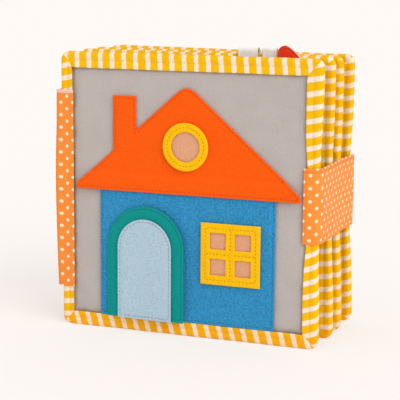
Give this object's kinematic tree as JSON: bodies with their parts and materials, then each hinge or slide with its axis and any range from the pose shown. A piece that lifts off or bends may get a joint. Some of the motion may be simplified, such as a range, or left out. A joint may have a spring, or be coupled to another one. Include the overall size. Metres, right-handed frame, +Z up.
{
  "type": "quiet book",
  "caption": "Soft fabric quiet book with padded bound leaves, a dotted spine strip and closure strap, and a felt house picture with a flap door on its front cover.",
  "frame": {"origin": "middle of the footprint on the surface that the closed book stands on", "axes": "+Z up, -Y towards the front cover, +X towards the fore-edge, with the spine at -X"},
  "size_m": [0.2004, 0.0976, 0.2067],
  "materials": {
    "grey_cotton": "matt woven cotton",
    "striped_cotton": "woven cotton printed with yellow and white stripes",
    "dotted_cotton": "woven cotton printed with small cream dots on orange",
    "wadding": "polyester wadding",
    "blue_felt": "needled felt",
    "orange_felt": "needled felt",
    "yellow_felt": "needled felt",
    "tan_felt": "needled felt",
    "green_felt": "needled felt",
    "pale_blue_felt": "needled felt",
    "red_felt": "needled felt",
    "ribbon": "satin ribbon",
    "hook_and_loop": "nylon hook and loop tape"
  },
  "bodies": {
    "spine": {"spine_strip": "dotted_cotton", "spine_lining": "wadding"},
    "front_cover": {"front_cover_wadding": "wadding", "front_cover_outer_panel": "grey_cotton", "front_cover_inner_panel": "grey_cotton", "front_cover_binding": "striped_cotton", "spine_front_lap": "dotted_cotton", "strap_sewn_end": "dotted_cotton", "house_wall": "blue_felt", "house_roof": "orange_felt", "attic_window_ring": "yellow_felt", "attic_window_pane": "tan_felt", "window_frame": "yellow_felt", "window_pane": "tan_felt", "door_sewn_margin": "green_felt"},
    "door": {"door_leaf": "green_felt", "door_panel": "pale_blue_felt"},
    "closure_strap": {"strap_flap": "dotted_cotton", "strap_hook_tape": "hook_and_loop"},
    "page_1": {"page_1_wadding": "wadding", "page_1_front_panel": "grey_cotton", "page_1_back_panel": "grey_cotton", "page_1_binding": "striped_cotton", "ribbon_tab_left": "ribbon", "ribbon_tab_right": "ribbon", "red_felt_tab": "red_felt", "red_tab_backing": "ribbon"},
    "page_2": {"page_2_wadding": "wadding", "page_2_front_panel": "grey_cotton", "page_2_back_panel": "grey_cotton", "page_2_binding": "striped_cotton"},
    "back_cover": {"back_cover_wadding": "wadding", "back_cover_inner_panel": "grey_cotton", "back_cover_outer_panel": "grey_cotton", "back_cover_binding": "striped_cotton", "spine_back_lap": "dotted_cotton", "strap_loop_tape": "hook_and_loop"}
  },
  "joints": [
    {"name": "front_cover_hinge", "type": "hinge", "parent": "spine", "child": "front_cover", "pos_m": [-0.1002, -0.04615, 0.10075], "axis": [0, 0, -1], "range_deg": [0, 180]},
    {"name": "back_cover_hinge", "type": "hinge", "parent": "spine", "child": "back_cover", "pos_m": [-0.1002, 0.04885, 0.10075], "axis": [0, 0, 1], "range_deg": [0, 180]},
    {"name": "page_1_turn", "type": "hinge", "parent": "spine", "child": "page_1", "pos_m": [-0.0869, -0.00965, 0.10075], "axis": [0, 0, -1], "range_deg": [0, 90]},
    {"name": "page_2_turn", "type": "hinge", "parent": "spine", "child": "page_2", "pos_m": [-0.0869, 0.01235, 0.10075], "axis": [0, 0, 1], "range_deg": [0, 90]},
    {"name": "strap_fold", "type": "hinge", "parent": "front_cover", "child": "closure_strap", "pos_m": [0.1002, -0.04615, 0.09975], "axis": [0, 0, -1], "range_deg": [0, 175]},
    {"name": "door_fold", "type": "hinge", "parent": "front_cover", "child": "door", "pos_m": [-0.0549, -0.04695, 0.05], "axis": [0, 0, -1], "range_deg": [0, 140]}
  ],
  "couplings": [
    {"joint": "page_1_turn", "follows": "front_cover_hinge", "ratio": 0.5},
    {"joint": "page_2_turn", "follows": "back_cover_hinge", "ratio": 0.5}
  ]
}
